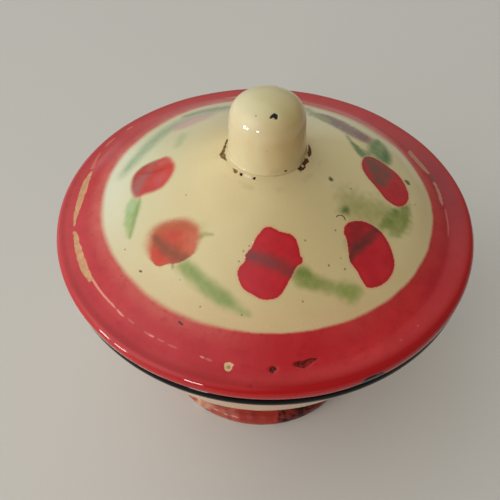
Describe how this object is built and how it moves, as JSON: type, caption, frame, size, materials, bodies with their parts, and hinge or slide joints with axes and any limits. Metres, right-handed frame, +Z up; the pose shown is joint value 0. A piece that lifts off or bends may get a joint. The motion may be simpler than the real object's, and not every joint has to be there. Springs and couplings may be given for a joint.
{
  "type": "lidded footed dish",
  "caption": "Small footed dish of enamelled pressed steel with a lift-off conical lid and thimble knob, for sugar, sweets or serving at the table.",
  "frame": {"origin": "on the table, under the centre of the foot ring", "axes": "+Z up along the dish's axis; the picture is taken from the -Y side, so +X is to the right in it"},
  "size_m": [0.15, 0.15, 0.14],
  "materials": {
    "foot_enamel": "gloss vitreous enamel, red spray fading into cream, worn at the edge",
    "bowl_enamel": "gloss cream vitreous enamel with a black rolled rim",
    "lid_enamel": "gloss cream vitreous enamel with sprayed flowers and a red border",
    "collar_enamel": "gloss cream vitreous enamel",
    "knob_enamel": "gloss cream vitreous enamel with small chips"
  },
  "bodies": {
    "bowl": {"foot_ring": "foot_enamel", "bowl_shell": "bowl_enamel"},
    "lid": {"lid_shell": "lid_enamel", "lid_collar": "collar_enamel", "lid_knob": "knob_enamel"}
  },
  "joints": [
    {"name": "lid_lift", "type": "slide", "parent": "bowl", "child": "lid", "axis": [0, 0, 1], "range_m": [0, 0.08]}
  ]
}
